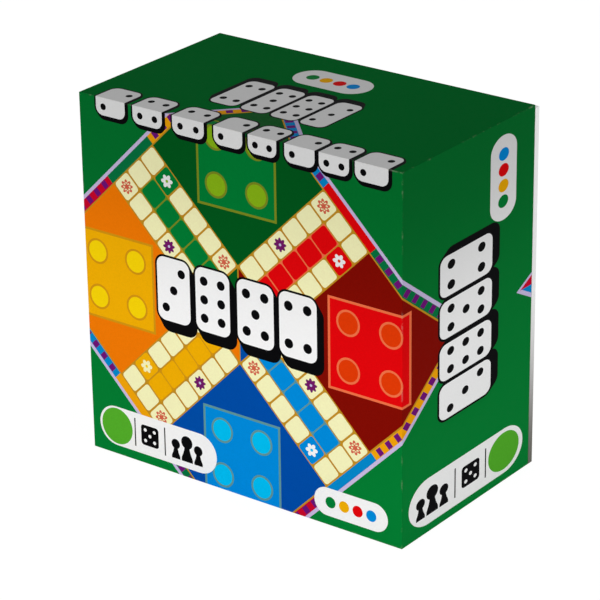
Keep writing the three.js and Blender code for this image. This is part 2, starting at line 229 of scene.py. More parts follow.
def printed(name, rgb, worn_and_shaded=True, painted_foot_light=0.0, top_shade=TOP_SHADE, strength=1.0, gloss=0.006):
    """Coated paper with ink on it: mottled ink, fibres, soft waves, and the lid's folds rubbed pale.
    Painted shade darkens the ink towards the top of the lid, painted light can make it paler towards the
    foot, and strength multiplies it all over."""
    t = Tree(name)
    ink = shade(linear(rgb), strength)
    mottle = t.noise(1400, detail=3, rough=0.6)
    cloud = t.noise(26)
    colour = t.mix(t.ramp(mottle, 0.3, 0.7), shade(ink, 0.97), shade(ink, 1.03))
    colour = t.mix(t.ramp(cloud, 0.35, 0.65, high=0.3), colour, shade(ink, 1.04))
    # The lid's inks get painted shade towards the top, painted light towards the foot, and real wear along
    # the folds.
    if worn_and_shaded:
        z = t.axes()[2]
        # Painted shade: the ink darkens towards the top of the lid.
        colour = t.mix(t.ramp(z, TOP_SHADE_FROM, TALL * MM, high=top_shade), colour, (0, 0, 0))
        # Painted light: the ink turns paler towards the foot of the lid.
        if painted_foot_light:
            colour = t.mix(t.ramp(z, 0.0, TALL * MM, low=painted_foot_light, high=0.0), colour, shade(ink, 1.6))
        near = t.ramp(lid_edge_distance(t), 0.0, RUBBED_WIDTH, low=1.0, high=0.0)
        patch = t.ramp(t.noise(190, detail=5, rough=0.7), 0.5, 0.72)
        # Real wear: the folds rubbed pale in patches.
        edge_wear_and_shade = t.math("MULTIPLY", t.math("MULTIPLY", near, patch), 0.3)
        colour = t.mix(edge_wear_and_shade, colour, linear(RUBBED_CARD))
    fibre = t.noise(3200, detail=3, rough=0.6)
    wave = t.noise(34)
    normal = t.bump(fibre, 0.12, 0.00004)
    normal = t.bump(wave, 0.25, 0.0006, normal)
    rough = t.ramp(t.noise(420), 0.25, 0.75, 0.42, 0.52)
    return t.finish(colour, rough, normal, Specular_IOR_Level=gloss)


ink_materials = {}


def ink_material(name, worn_and_shaded=True):
    key = (name, worn_and_shaded)
    if key not in ink_materials:
        place = "print" if worn_and_shaded else "board"
        # White takes the most painted shade towards the top.
        top_shade = WHITE_TOP_SHADE if name == "white" else TOP_SHADE
        ink_materials[key] = printed(f"{place}_{name}", INKS[name], worn_and_shaded, top_shade=top_shade)
    return ink_materials[key]


# Flat shapes in mm. Every shape is a list of corners that runs anticlockwise

def polar(centre, radius, a):
    return (centre[0] + radius * math.cos(a), centre[1] + radius * math.sin(a))


def disc(centre, radius, steps=36):
    return [polar(centre, radius, 2 * math.pi * i / steps) for i in range(steps)]


def rectangle(left, right, bottom, top):
    return [(left, bottom), (right, bottom), (right, top), (left, top)]


def around(reach):
    """A square about the middle."""
    return rectangle(-reach, reach, -reach, reach)


def arc(centre, radius, start, end, steps):
    """Points on an arc, angles in degrees."""
    return [polar(centre, radius, math.radians(start + (end - start) * i / steps)) for i in range(steps + 1)]


def rounded(left, right, bottom, top, radius, steps=8):
    points = []
    for x, y, start in (
        (right - radius, top - radius, 0),
        (left + radius, top - radius, 90),
        (left + radius, bottom + radius, 180),
        (right - radius, bottom + radius, 270),
    ):
        points += arc((x, y), radius, start, start + 90, steps)
    return points


def rosette(centre, radius, petals, turn=0.0):
    """A flower in outline, the same for every petal."""
    steps = petals * 6
    points = []
    for i in range(steps):
        a = 2 * math.pi * i / steps
        swell = 0.6 + 0.4 * abs(math.cos(petals * a / 2))
        points.append(polar(centre, radius * swell, a + turn))
    return points


def pawn_outline(centre, wide, tall):
    """A playing pawn seen from the side: round head, thick neck, and a foot that flares."""
    head = 0.25 * tall
    neck = 0.24 * wide
    side = [
        (0.5 * wide, 0.0),
        (0.5 * wide, 0.12 * tall),
        (0.44 * wide, 0.2 * tall),
        (0.33 * wide, 0.32 * tall),
        (0.26 * wide, 0.45 * tall),
        (neck, tall - 2 * head),
    ]
    start = math.degrees(math.asin(min(1.0, neck / head)))
    top = arc((0.0, tall - head), head, start - 90, 270 - start, 18)
    points = side + top + [(-x, y) for x, y in reversed(side)]
    return [(centre[0] + x, centre[1] + y - tall / 2) for x, y in points]


def anticlockwise(points):
    area = sum(a[0] * b[1] - b[0] * a[1] for a, b in zip(points, points[1:] + points[:1]))
    return points if area > 0 else list(reversed(points))


class Print:
    """Inked shapes in the order they are printed; a later shape covers an earlier one."""

    def __init__(self):
        self.shapes = []

    def add(self, ink, points):
        self.shapes.append((ink, anticlockwise(points)))


# The ludo board, in squares, middle at (0, 0), arms up, right, down and left.
# Clockwise and before are the inks of the border's checks on the two sides of an arm

ARMS = [
    {"out": (0, 1), "side": (1, 0), "name": "green", "clockwise": "orange", "before": "crimson"},
    {"out": (1, 0), "side": (0, -1), "name": "red", "clockwise": "grass", "before": "sky"},
    {"out": (0, -1), "side": (-1, 0), "name": "blue", "clockwise": "crimson", "before": "orange"},
    {"out": (-1, 0), "side": (0, 1), "name": "yellow", "clockwise": "sky", "before": "grass"},
]
BARS = {"green": "grass", "red": "house_red", "blue": "sky", "yellow": "orange"}
WAYS = ((1, 0), (0, 1), (-1, 0), (0, -1))

ARM = 1.5                   # half the width of an arm
REACH = 7.5                 # from the middle to the end of an arm
RIBBON = REACH + 0.4        # and to the outside of the checked border
LACE = REACH + 0.55         # and to the outside of the pale line round it
LINE = 0.045                # half the line between two squares
OUTLINE = 0.4 * LINE        # the line along the outside of an arm
BAR = 1.55                  # half the length of the plain bar in the border at the end of an arm
CHECK = 0.3                 # one check of the border
HOUSE, HOUSE_LINE = 2.8, 0.15                   # half the diagonal of a house, and its outline
SPOT_AT, SPOT_RING, SPOT = 1.43, 0.56, 0.465    # how far out a spot lies, its ring and itself


def on(arm, along, across):
    out, side = arm["out"], arm["side"]
    return (out[0] * along + side[0] * across, out[1] * along + side[1] * across)


class Board:
    """Draws the board on a print. Centre and square are in mm; press moves each finished point."""

    def __init__(self, art, centre, square, turn=0, press=None):
        self.art, self.centre, self.square, self.press = art, centre, square, press
        self.cos, self.sin = math.cos(math.radians(turn)), math.sin(math.radians(turn))
        self.border()
        for arm in ARMS:
            self.yard(arm)
        for arm in ARMS:
            self.track(arm)
        self.put("gold", around(ARM))
        for arm in ARMS:
            corners = ((0.03, 0), (ARM - LINE, -ARM + LINE * 2), (ARM - LINE, ARM - LINE * 2))
            self.put_on(f"yard_{arm['name']}", arm, corners)

    def put(self, ink, points):
        placed = []
        for x, y in points:
            u = self.centre[0] + self.square * (x * self.cos - y * self.sin)
            v = self.centre[1] + self.square * (x * self.sin + y * self.cos)
            placed.append(self.press(u, v) if self.press else (u, v))
        self.art.add(ink, placed)

    def put_on(self, ink, arm, points):
        self.put(ink, [on(arm, along, across) for along, across in points])

    def block(self, ink, arm, along, across):
        self.put_on(ink, arm, rectangle(*along, *across))

    def border(self):
        self.put("lavender", around(LACE))
        self.put("purple", around(RIBBON))
        for arm in ARMS:
            for ink, way in ((arm["clockwise"], 1), (arm["before"], -1)):
                self.block(ink, arm, (REACH, RIBBON), (way * BAR, way * RIBBON))
                for i in range(int((RIBBON - BAR) / CHECK / 2)):
                    a = BAR + 0.12 + CHECK * 2 * i + CHECK * 0.5
                    b = a + CHECK * 0.92
                    self.block("purple", arm, (REACH + 0.06, RIBBON - 0.02), (way * a, way * b))
            self.block(BARS[arm["name"]], arm, (REACH, RIBBON), (-BAR, BAR))
        self.put("gold", around(REACH + 0.02))

    def yard(self, arm):
        """The field between two arms, with its house and the four spots where the pawns start."""
        name = arm["name"]
        span = (ARM + OUTLINE, REACH - LINE)
        self.block(f"yard_{name}", arm, span, span)
        x, y = on(arm, (ARM + REACH) / 2, (ARM + REACH) / 2)
        for ink, size in ((f"line_{name}", HOUSE), (f"house_{name}", HOUSE - HOUSE_LINE)):
            self.put(ink, [(x + a * size, y + b * size) for a, b in WAYS])
        for a, b in WAYS:
            spot = (x + SPOT_AT * a, y + SPOT_AT * b)
            self.put(f"line_{name}", disc(spot, SPOT_RING))
            self.put(f"spot_{name}", disc(spot, SPOT))

    def track(self, arm):
        """Three columns of six squares with round corners. Five in the middle and one beside are coloured."""
        name = arm["name"]
        self.block("gold", arm, (ARM, REACH), (-ARM - OUTLINE, ARM + OUTLINE))
        self.block(f"line_{name}", arm, (ARM, ARM + 5), (-0.5, 0.5))
        for i in range(6):
            for j in (-1, 0, 1):
                start = j == 1 and i == 4
                coloured = start or (j == 0 and i < 5)
                a, b = ARM + i, j - 0.5
                inset = LINE * 0.7 if coloured else LINE
                soft = rounded(a + inset, a + 1 - inset, b + inset, b + 1 - inset, 0.13, 3)
                self.put_on(f"house_{name}" if coloured else "cream", arm, soft)
                spot = on(arm, a + 0.5, j)
                if start:
                    self.put("cream" if name == "yellow" else "white", rosette(spot, 0.3, 6, 0.3))
                    self.put(f"spot_{name}", disc(spot, 0.07, 12))
                if j == -1 and i == 2:
                    self.put("violet", rosette(spot, 0.31, 8, 0.1))
                    self.put("violet", disc(spot, 0.22, 16))
                    self.put("lavender", disc(spot, 0.06, 12))
                if (j == -1 and i == 5) or (j == 1 and i == 0):
                    self.put("rose", rosette(spot, 0.32, 8, 0.2))
                    self.put("cream", rosette(spot, 0.2, 8, 0.2))
                    self.put("rose", rosette(spot, 0.15, 6))


# The print over the lid: one drawing, whose part beyond the front's edges is stretched over the walls

SPAN = 1.35
TOP_SPAN = 1.05
WALL = DEEP / SPAN
TOP_WALL = DEEP / TOP_SPAN
CROSS = (0.0, 76.3)
SQUARE = 9.5
PRESS, PRESS_LEFT_OF, PRESS_ABOVE = 0.986, 10.0, 90.0


def pressed(u, v):
    """The drawing is a little narrower at the left and lower at the top, as the photograph shows it."""
    if u < PRESS_LEFT_OF:
        u = PRESS_LEFT_OF + PRESS * (u - PRESS_LEFT_OF)
    if v > PRESS_ABOVE:
        v = PRESS_ABOVE + PRESS * (v - PRESS_ABOVE)
    return (u, v)


art = Print()
Board(art, CROSS, SQUARE, turn=45, press=pressed)

# Places of the pips on a face, from -1 to 1
PIPS = {
    1: [(0, 0)],
    2: [(-1, -1), (1, 1)],
    3: [(-1, -1), (0, 0), (1, 1)],
    4: [(-1, -1), (-1, 1), (1, -1), (1, 1)],
    5: [(-1, -1), (-1, 1), (0, 0), (1, -1), (1, 1)],
    6: [(-1, -1), (-1, 0), (-1, 1), (1, -1), (1, 0), (1, 1)],
}


def thick_tile(box, radius, rim, rim_radius, drop, parts):
    """A white tile on dark copies of itself, which step away along the drop as its thick side."""
    left, right, bottom, top = box
    for part in parts:
        x, y = drop[0] * part, drop[1] * part
        box = (left - rim + x, right + rim + x, bottom - rim + y, top + rim + y)
        art.add("black", rounded(*box, rim_radius))
    art.add("white", rounded(left, right, bottom, top, radius))


ROW = (3, 6, 5, 4)
ROW_PARTS = [i / 5 for i in range(5, -1, -1)]


def row(boxes, drop, radius=3.2, rim=0.9):
    """Four tiles beside each other. A face's pips follow the long side of its tile."""
    for box, pips in zip(boxes, ROW):
        thick_tile(box, radius, rim, radius + rim, drop, ROW_PARTS)
        left, right, bottom, top = box
        middle = ((left + right) / 2, (bottom + top) / 2)
        lying = right - left > top - bottom
        short, long = sorted((right - left, top - bottom))
        for x, y in PIPS[pips]:
            a, b = x * short * 0.25, y * long * 0.29
            if lying:
                a, b = b, a
            art.add("black", disc((middle[0] + a, middle[1] + b), short * 0.115, 24))


FOLD_ROW = (
    (-59.6, 14.2, 2), (-41.6, 14.2, 4), (-22.0, 15.0, 4), (-3.2, 13.4, 2),
    (12.6, 13.0, 4), (29.6, 13.6, 2), (45.0, 13.4, 4), (61.6, 14.6, 2),
)
FOLD_ROW_SPAN = (142.9, 161.2)
FOLD_ROW_PIPS = {-1: 146.4, 1: 156.7}


def fold_row():
    """Eight dice faces side by side over the fold between the front and the top: middle, width and pips."""
    for middle, wide, pips in FOLD_ROW:
        box = (middle - wide / 2, middle + wide / 2, *FOLD_ROW_SPAN)
        thick_tile(box, 3.2, 0.75, 4.0, (0.9, -1.0), (1.0, 0.66, 0.33, 0.0))
        for x, y in PIPS[pips]:
            art.add("black", disc((middle + x * wide * 0.25, FOLD_ROW_PIPS[y]), 1.35, 20))


def pill(left, right, bottom, top):
    radius = min(top - bottom, right - left) / 2 - 0.01
    art.add("white", rounded(left, right, bottom, top, radius, 14))


def dots_pill(left, right, bottom, top):
    """A pill with four discs in the colours of the game, along its long side."""
    pill(left, right, bottom, top)
    upright = top - bottom > right - left
    short, long = sorted((right - left, top - bottom))
    x, y = (left + right) / 2, (bottom + top) / 2
    for i, name in enumerate(("green", "yellow", "red", "blue")):
        along = (i - 1.5) * long * 0.185
        spot = (x, y + along) if upright else (x + along, y)
        art.add(f"house_{name}", disc(spot, min(0.2 * short, 0.075 * long), 24))


def fact_pill(left, right, middle, tall, facing, margin=0.0):
    """A pill with a green disc, a die and three pawns. Facing 1 puts the disc at its left, -1 at its right.
    All in it is measured in its height."""
    pill(left, right, middle - tall / 2, middle + tall / 2)
    tall -= 2 * margin
    start = left + margin if facing == 1 else right - margin

    def along(share):
        return start + facing * tall * share

    art.add("leaf", disc((along(0.52), middle), tall * 0.46, 48))
    for share in (1.06, 1.95):
        x = along(share)
        art.add("black", rectangle(x - 0.3, x + 0.3, middle - tall * 0.36, middle + tall * 0.36))
    x, die = along(1.5), tall * 0.26
    art.add("black", rounded(x - die, x + die, middle - die, middle + die, die * 0.3))
    for a, b in PIPS[5]:
        art.add("white", disc((x + a * die * 0.52, middle + b * die * 0.52), die * 0.17, 16))
    for i, size in ((0, 0.5), (2, 0.5), (1, 0.66)):
        spot = (along(2.27 + 0.33 * i), middle - tall * (0.34 - size / 2))
        art.add("black", pawn_outline(spot, tall * size * 0.5, tall * size))


FRONT_TILES = ((-39.3, -23.4), (-20.6, -4.2), (-0.6, 16.6), (19.2, 36.6))
SIDE_TILES = ((42.6, 57.0), (58.6, 73.4), (75.6, 90.6), (92.4, 108.6))
TOP_TILES = ((13.4, 24.6), (-0.2, 11.6), (-14.2, -2.0), (-28.8, -16.4))

# Front
row([(a, b, 65.2, 91.6) for a, b in FRONT_TILES], (2.4, -3.6), radius=3.6)
fold_row()
fact_pill(-71.4, -12.4, 12.3, 17.0, 1)
dots_pill(34.6, 68.6, 3.8, 15.6)

# Right wall: the row runs upward
row([(92.8, 118.4, a, b) for a, b in SIDE_TILES], (2.8, 2.2))
dots_pill(117.0, 130.0, 110.6, 144.4)
fact_pill(78.2, 135.8, 13.0, 19.2, -1, margin=0.9)

# Top wall: the row is upright as seen from the back
row([(a, b, 169.3, 195.5) for a, b in TOP_TILES], (-1.6, 3.1), radius=3.0, rim=0.75)
dots_pill(-19.4, 15.0, 203.0, 219.0)

# Left wall: the row runs downward
row([(-118.4, -92.8, a, b) for a, b in reversed(SIDE_TILES)], (-2.8, -2.2))
dots_pill(-129.2, -115.8, 8.6, 42.4)

# Bottom wall: the row is upright as seen from the front
row([(-b, -a, -46.8, -20.6) for a, b in TOP_TILES], (1.6, -3.1), radius=3.0, rim=0.75)
dots_pill(-16.0, 18.4, -71.5, -55.5)

# The tip of a border at the right wall's rim, and the same on the left wall: ink, place of its tip, and
# whether it widens below and above
TIP, TIP_HIGH, TIP_BELOW, TIP_ABOVE = 131.2, 77.2, 5.9, 5.4
TIP_END = HALF + WALL + 0.5
for way in (1, -1):
    for ink, start, below, above in (("lavender", TIP, 1, 1), ("crimson", 133.0, 0, 1), ("sky", 133.9, 1, 0)):
        share = (TIP_END - start) / (TIP_END - TIP)
        art.add(ink, [
            (way * start, TIP_HIGH),
            (way * TIP_END, TIP_HIGH - TIP_BELOW * below * share),
            (way * TIP_END, TIP_HIGH + TIP_ABOVE * above * share),
        ])


# Ink sheets

INK_LIFT = 0.03
INK_SINK = 0.01
JOIN_GAP = 0.002


def new_piece(name, mesh):
    piece = bpy.data.objects.new(name, mesh)
    bpy.context.scene.collection.objects.link(piece)
    return piece


def weld(mesh, gap):
    """Joins corners that lie nearer together than the gap, in mm, and drops the faces this closes up."""
    work = bmesh.new()
    work.from_mesh(mesh)
    bmesh.ops.remove_doubles(work, verts=work.verts, dist=gap * MM)
    bmesh.ops.dissolve_degenerate(work, dist=0.5 * gap * MM, edges=work.edges)
    bmesh.ops.triangulate(work, faces=work.faces)
    work.to_mesh(mesh)
    work.free()


def cut_print(drawing, window, cuts):
    """The part of a print in the window: its points, its triangles with the number of their ink, and the
    inks. A triangle takes the ink of the topmost shape over it. Cuts are lines that triangles don't cross."""
    left, right, bottom, top = window
    shapes = [("", rectangle(*window))]
    for ink, points in drawing.shapes:
        us = [p[0] for p in points]
        vs = [p[1] for p in points]
        if max(us) > left and min(us) < right and max(vs) > bottom and min(vs) < top:
            shapes.append((ink, points))
    corners, faces = [], []
    for _, points in shapes:
        faces.append(list(range(len(corners), len(corners) + len(points))))
        corners.extend(Vector(p) for p in points)
    edges = []
    for a, b in cuts:
        edges.append((len(corners), len(corners) + 1))
        corners.extend((Vector(a), Vector(b)))
    points, _, triangles, _, _, origins = delaunay_2d_cdt(corners, edges, faces, 1, 1e-4)
    kept, used, inks = [], {}, []
    for triangle, origin in zip(triangles, origins):
        if 0 not in origin or max(origin) == 0:
            continue
        ink = shapes[max(origin)][0]
        if ink not in inks:
            inks.append(ink)
        for i in triangle:
            used.setdefault(i, len(used))
        kept.append(([used[i] for i in triangle], inks.index(ink)))
    return [points[i] for i in used], kept, inks


def ink_sheet(name, drawing, window, place, body, worn_and_shaded=True, cuts=()):
    """The print in the window as one thin closed sheet. place(u, v, lift) gives a point in mm."""
    flat, triangles, inks = cut_print(drawing, window, cuts)
    count = len(flat)
    coordinates = [Vector(place(p.x, p.y, INK_LIFT)) * MM for p in flat]
    coordinates += [Vector(place(p.x, p.y, -INK_SINK)) * MM for p in flat]
    polygons, indices, sides = [], [], {}
    for triangle, index in triangles:
        polygons += [triangle, [i + count for i in reversed(triangle)]]
        indices += [index, index]
        for a, b in zip(triangle, triangle[1:] + triangle[:1]):
            sides[(a, b)] = index
    for (a, b), index in sides.items():
        if (b, a) not in sides:
            polygons.append([b, a, a + count, b + count])
            indices.append(index)
    mesh = bpy.data.meshes.new(name)
    mesh.from_pydata(coordinates, [], polygons)
    for ink in inks:
        mesh.materials.append(ink_material(ink, worn_and_shaded))
    mesh.polygons.foreach_set("material_index", indices)
    weld(mesh, JOIN_GAP)
    mesh.update()
    piece = new_piece(name, mesh)
    if body:
        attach(piece, body)
    return piece


LID_SIDES = {
    "front": ((-HALF, HALF, 0, TALL), lambda u, v, lift: (u, FRONT - lift, v)),
    "right": ((HALF, HALF + WALL, 0, TALL), lambda u, v, lift: (HALF + lift, FRONT + (u - HALF) * SPAN, v)),
    "left": ((-HALF - WALL, -HALF, 0, TALL), lambda u, v, lift: (-HALF - lift, FRONT - (HALF + u) * SPAN, v)),
    "top": (
        (-HALF, HALF, TALL, TALL + TOP_WALL),
        lambda u, v, lift: (u, FRONT + (v - TALL) * TOP_SPAN, TALL + lift),
    ),
    "bottom": ((-HALF, HALF, -TOP_WALL, 0), lambda u, v, lift: (u, FRONT - v * TOP_SPAN, -lift)),
}
for side, (window, place) in LID_SIDES.items():
    ink_sheet(f"lid_print_{side}", art, window, place, "lid")


# Finishes of the lid's ground, the carton, the board, the tray and what lies in it

def plain_card(name, rgb, fibre_scale, contrast, rough, grain=0.35, specks=(), edge_wear_and_shade=False):
    """Card or paper without a coat: fibres, pulp clouds, and specks where the pulp is waste paper.
    Its last flag adds painted shade to its left and right edges, grey towards the foot."""
    t = Tree(name)
    base = linear(rgb)
    cloud = t.noise(fibre_scale * 0.06, detail=3, rough=0.6)
    fibre = t.noise(fibre_scale, detail=4, rough=0.65, stretch=(1.0, 0.35, 0.35))
    colour = t.mix(t.ramp(cloud, 0.3, 0.7), shade(base, 1 - contrast), shade(base, 1 + contrast))
    colour = t.mix(t.ramp(fibre, 0.35, 0.75, high=0.4), colour, shade(base, 1 + 2 * contrast))
    for number, ink in enumerate(specks):
        spot = t.ramp(t.noise(fibre_scale * (0.7 + 0.3 * number)), 0.7, 0.76)
        colour = t.mix(t.math("MULTIPLY", spot, 0.7), colour, linear(ink))
    if edge_wear_and_shade:
        # Painted shade: the left and right edges turn grey towards the foot.
        x, _, z = t.axes()
        side = t.ramp(t.math("ABSOLUTE", x), (HALF - 0.6) * MM, (HALF - 0.2) * MM)
        foot = t.math("MULTIPLY", side, t.ramp(z, 0.0, 0.5 * TALL * MM, low=1.0, high=0.0))
        colour = t.mix(foot, colour, linear((108, 106, 98)))
    normal = t.bump(fibre, grain, 0.00008)
    normal = t.bump(cloud, 0.2, 0.0003, normal)
    roughness = t.ramp(cloud, 0.2, 0.8, rough, min(1.0, rough + 0.12))
    return t.finish(colour, roughness, normal, Specular_IOR_Level=0.2)


def woven(name, rgb, pitch, depth, rough):
    """Book cloth, or card embossed like linen: threads that cross in a plain weave along x, y and z."""
    t = Tree(name)
    base = linear(rgb)
    x, y, z = t.axes()
    turns = 2 * math.pi / pitch
    along = t.math("SINE", t.math("MULTIPLY", t.math("ADD", x, y), turns))
    across = t.math("SINE", t.math("MULTIPLY", t.math("ADD", z, y), turns))
    weave = t.math("MULTIPLY_ADD", t.math("MULTIPLY", along, across), 0.5, 0.5)
    slub = t.noise(900, detail=3, rough=0.6, stretch=(1.0, 0.2, 0.2))
    height = t.math("MULTIPLY_ADD", slub, 0.5, weave)
    # Painted shade: the colour follows the weave's relief, dark in its hollows and pale on its raised
    # threads.
    colour = t.mix(t.ramp(height, 0.2, 1.2), shade(base, 0.6), shade(base, 1.5))
    faded = t.ramp(t.noise(70, detail=3, rough=0.6), 0.5, 0.8, high=0.3)
    colour = t.mix(faded, colour, shade(base, 2.4))
    normal = t.bump(height, 0.6, depth)
    return t.finish(colour, rough, normal, Specular_IOR_Level=0.3, Sheen_Weight=0.15, Sheen_Roughness=0.4)


def moulded(name, rgb, rough, subsurface=0.0):
    """Moulded or formed plastic: slow flow lines, and faint scuffs that make it paler and less glossy."""
    t = Tree(name)
    base = linear(rgb)
    flow = t.noise(60, stretch=(1.0, 0.25, 1.0))
    scuff = t.ramp(t.noise(420, detail=4, rough=0.7, stretch=(1.0, 0.3, 1.6)), 0.52, 0.72)
    colour = t.mix(t.ramp(flow, 0.3, 0.7), shade(base, 0.96), shade(base, 1.04))
    colour = t.mix(t.math("MULTIPLY", scuff, 0.05), colour, (0.8, 0.8, 0.8))
    roughness = t.math("MULTIPLY_ADD", scuff, 0.16, rough)
    normal = t.bump(flow, 0.25, 0.00048)
    normal = t.bump(t.noise(1800), 0.06, 0.00012, normal)
    return t.finish(colour, roughness, normal, Subsurface_Weight=subsurface, Subsurface_Scale=0.002)


def node_names(*starts):
    return [n for n in nodes if n.startswith(starts)]


def dress(material, *starts):
    """Gives the material to every node whose name begins so."""
    for name in node_names(*starts):
        slots = nodes[name].data.materials
        slots.clear()
        slots.append(material)


# Lit and shaded copies of the one green ground: front and bottom and left and right differ in painted light
# towards the foot and painted shade towards the top; the top's copy has painted shade and a brighter
# strength.
ground = printed("print_ground", INKS["lid_green"], painted_foot_light=0.75, top_shade=0.13)
shaded_side_ground = printed("print_ground_sides", INKS["lid_green"], painted_foot_light=0.8, top_shade=0.2)
shaded_top_ground = printed("print_ground_top", INKS["lid_green"], strength=1.06, gloss=0.001)
greyboard = plain_card(
    "greyboard", (156, 148, 132), 900, 0.08, 0.85, specks=((96, 88, 76), (206, 200, 186), (70, 86, 118)),
)
kraft = plain_card("kraft_tape", (196, 160, 112), 1200, 0.06, 0.6, grain=0.25)
paper = plain_card("white_paper", (240, 240, 238), 1500, 0.03, 0.6, grain=0.2)
# The plate's side edges get painted shade, grey towards the foot.
plate_paper = plain_card("plate_paper", (255, 255, 254), 1500, 0.02, 0.6, grain=0.2, edge_wear_and_shade=True)
leaflet_paper = plain_card("leaflet_paper", (244, 244, 240), 2200, 0.02, 0.42, grain=0.12)
board_back = woven("board_back", (34, 34, 38), 0.0011, 0.00006, 0.62)
cloth = woven("hinge_cloth", (30, 30, 34), 0.0007, 0.00012, 0.8)
tray_plastic = moulded("tray_plastic", (236, 236, 233), 0.32)
cup_plastic = moulded("cup_plastic", (30, 30, 33), 0.3)
die_plastic = moulded("die_plastic", (246, 242, 228), 0.16, subsurface=0.1)
pip_paint = moulded("pip_paint", (14, 14, 16), 0.35)

dress(ground, "lid_wrap_front", "lid_wrap_bottom")
dress(shaded_side_ground, "lid_wrap_left", "lid_wrap_right")
dress(shaded_top_ground, "lid_wrap_top")
dress(greyboard, "lid_board", "base_board", "base_plate_board")
dress(kraft, "lid_corner_tape", "base_corner_tape")
dress(paper, "base_wrap", "board_print")
dress(plate_paper, "base_plate_wrap")
dress(leaflet_paper, "rules_leaflet")
dress(board_back, "board_panel")
dress(tray_plastic, "insert_tray")


def soften(width, segments, start):
    """Rounds the sharp edges of the nodes whose name begins so."""
    for name in node_names(start):
        change = nodes[name].modifiers.new("soft_edges", "BEVEL")
        change.width = width * MM
        change.segments = segments
        change.limit_method = "ANGLE"
        change.angle_limit = math.radians(40)


soften(0.35, 3, "insert_tray")
soften(0.15, 2, "board_panel")


# Shapes made in mesh code

def closed_mesh(name, points, polygons, materials):
    mesh = bpy.data.meshes.new(name)
    mesh.from_pydata([Vector(p) * MM for p in points], [], polygons)
    for material in materials:
        mesh.materials.append(material)
    mesh.update()
    return new_piece(name, mesh)


SHARP = math.radians(35)


def lathe(name, profile, foot, steps, material):
    """Turned about the line that runs through foot to the front (-Y).
    The profile is a list of (radius, height), foot first."""
    points, polygons, rings = [], [], []
    kept = [profile[0]]
    for step in profile[1:]:
        if math.dist(step, kept[-1]) > 0.01:
            kept.append(step)
    for radius, height in kept:
        if radius <= 0:
            rings.append([len(points)])
            points.append((foot[0], foot[1] - height, foot[2]))
            continue
        rings.append(list(range(len(points), len(points) + steps)))
        points += [(x, foot[1] - height, z) for x, z in disc((foot[0], foot[2]), radius, steps)]
    for below, above in zip(rings, rings[1:]):
        for i in range(steps):
            j = (i + 1) % steps
            if len(below) == 1:
                polygons.append([below[0], above[j], above[i]])
            elif len(above) == 1:
                polygons.append([below[i], below[j], above[0]])
            else:
                polygons.append([below[i], below[j], above[j], above[i]])
    piece = closed_mesh(name, points, polygons, [material])
    piece.data.set_sharp_from_angle(angle=SHARP)
    return piece


def standing(node):
    """A round node's foot, radius and height, in mm. Its foot is at the back."""
    lowest, highest = low(node), high(node)
    foot = ((lowest.x + highest.x) / 2, highest.y, (lowest.z + highest.z) / 2)
    return foot, (highest.x - lowest.x) / 2, highest.y - lowest.y


def stand_for(piece, node, body):
    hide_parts(node)
    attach(piece, body)


# Pawns: a foot with a round rim, a hollow cone, a collar and a ball

def pawn_profile(radius, tall):
    foot_round, foot_tall = 0.6, 1.6
    head = 4.7
    middle = tall - head
    collar = 15.2
    profile = [(0.0, 0.5), (radius - 2.2, 0.5), (radius - 1.7, 0.0)]
    profile += arc((radius - foot_round, foot_round), foot_round, -90, 0, 5)
    profile += arc((radius - foot_round, foot_tall - 0.1), foot_round, 0, 80, 4)
    profile += [(5.7, 2.35), (5.35, 2.9), (5.0, 3.9), (4.62, 5.3), (4.2, 6.9), (3.75, 8.7), (3.3, 10.6)]
    profile += [(2.9, 12.5), (2.55, 14.2), (2.9, 14.6)]
    profile += arc((3.35, collar), 0.55, -75, 90, 6)
    profile += [(2.95, collar + 0.6)]
    start = math.degrees(math.asin((collar + 0.7 - middle) / head))
    profile += arc((0.0, middle), head, start, 88, 18)
    return profile + [(0.0, tall)]


PAWN_INKS = {"green": (0, 128, 58), "yellow": (250, 182, 0), "red": (226, 8, 12), "blue": (0, 118, 214)}
for colour, rgb in PAWN_INKS.items():
    plastic = moulded(f"pawn_plastic_{colour}", rgb, 0.14, subsurface=0.05)
    for number in range(1, 5):
        node = f"pawn_{colour}_{number}"
        foot, radius, tall = standing(node)
        pawn = lathe(f"turned_pawn_{colour}_{number}", pawn_profile(radius, tall), foot, 48, plastic)
        stand_for(pawn, node, f"{colour}_{number}")


# Dice cup: ribs round its middle, a rolled rim and a foot ring

def cup_profile(rim, tall):
    mouth, foot_radius, wall, floor_at, bead = rim - 1, rim - 7, 1.8, 2.6, 4.0
    ribs, rib_pitch, rib_depth = 9, 3.1, 0.35
    slope = (mouth - foot_radius) / tall

    def outside(height):
        return foot_radius + slope * height

    profile = [(0.0, 0.9), (foot_radius - 3.4, 0.9), (foot_radius - 2.8, 0.0)]
    profile += arc((foot_radius - 1.0, 1.0), 1.0, -90, 0, 6)
    profile += [(outside(3.4), 3.4), (outside(3.6) - 0.5, 3.7)]
    profile += [(outside(4.3) - 0.5, 4.3), (outside(4.6), 4.6)]
    for i in range(ribs):
        at = 0.3 * tall + i * rib_pitch
        inner = outside(at) - rib_depth
        profile += [(outside(at), at), (inner, at + 0.35), (inner, at + 0.75), (outside(at + 1.1), at + 1.1)]
    low_bead = tall - bead
    profile += [(outside(low_bead - 0.7), low_bead - 0.7)]
    profile += arc((rim - 1.2, low_bead + 1.2), 1.2, -60, 0, 4)
    profile += arc((rim - 1.4, tall - 1.4), 1.4, 0, 180, 12)
    profile += [(rim - 2.8, low_bead), (foot_radius - wall, floor_at + 1.6)]
    profile += arc((foot_radius - wall - 1.6, floor_at + 1.6), 1.6, 0, -90, 5)
    return profile + [(0.0, floor_at)]


